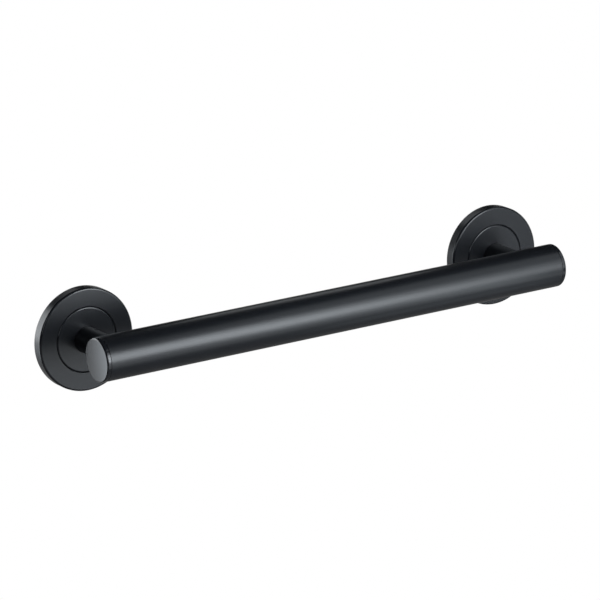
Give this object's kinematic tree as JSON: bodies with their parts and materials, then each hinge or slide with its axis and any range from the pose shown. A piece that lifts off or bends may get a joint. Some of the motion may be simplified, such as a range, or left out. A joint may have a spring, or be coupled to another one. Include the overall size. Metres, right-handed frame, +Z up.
{
  "type": "grab bar",
  "caption": "Straight round grab bar on short posts, with flat end caps and push-on cover rings that hide the wall screws of its round flanges.",
  "frame": {"origin": "on the wall plane, midway between the two posts, at the centre of the pattern of wall screw holes", "axes": "+X along the rail, +Y into the wall, +Z up"},
  "size_m": [0.425, 0.073, 0.075],
  "materials": {
    "black_coat": "satin matte black powder coat on steel"
  },
  "bodies": {
    "root": {"rail_tube": "black_coat", "left_end_cap": "black_coat", "right_end_cap": "black_coat", "left_post": "black_coat", "right_post": "black_coat", "left_wall_flange": "black_coat", "right_wall_flange": "black_coat", "left_cover_ring": "black_coat", "right_cover_ring": "black_coat"}
  },
  "joints": []
}
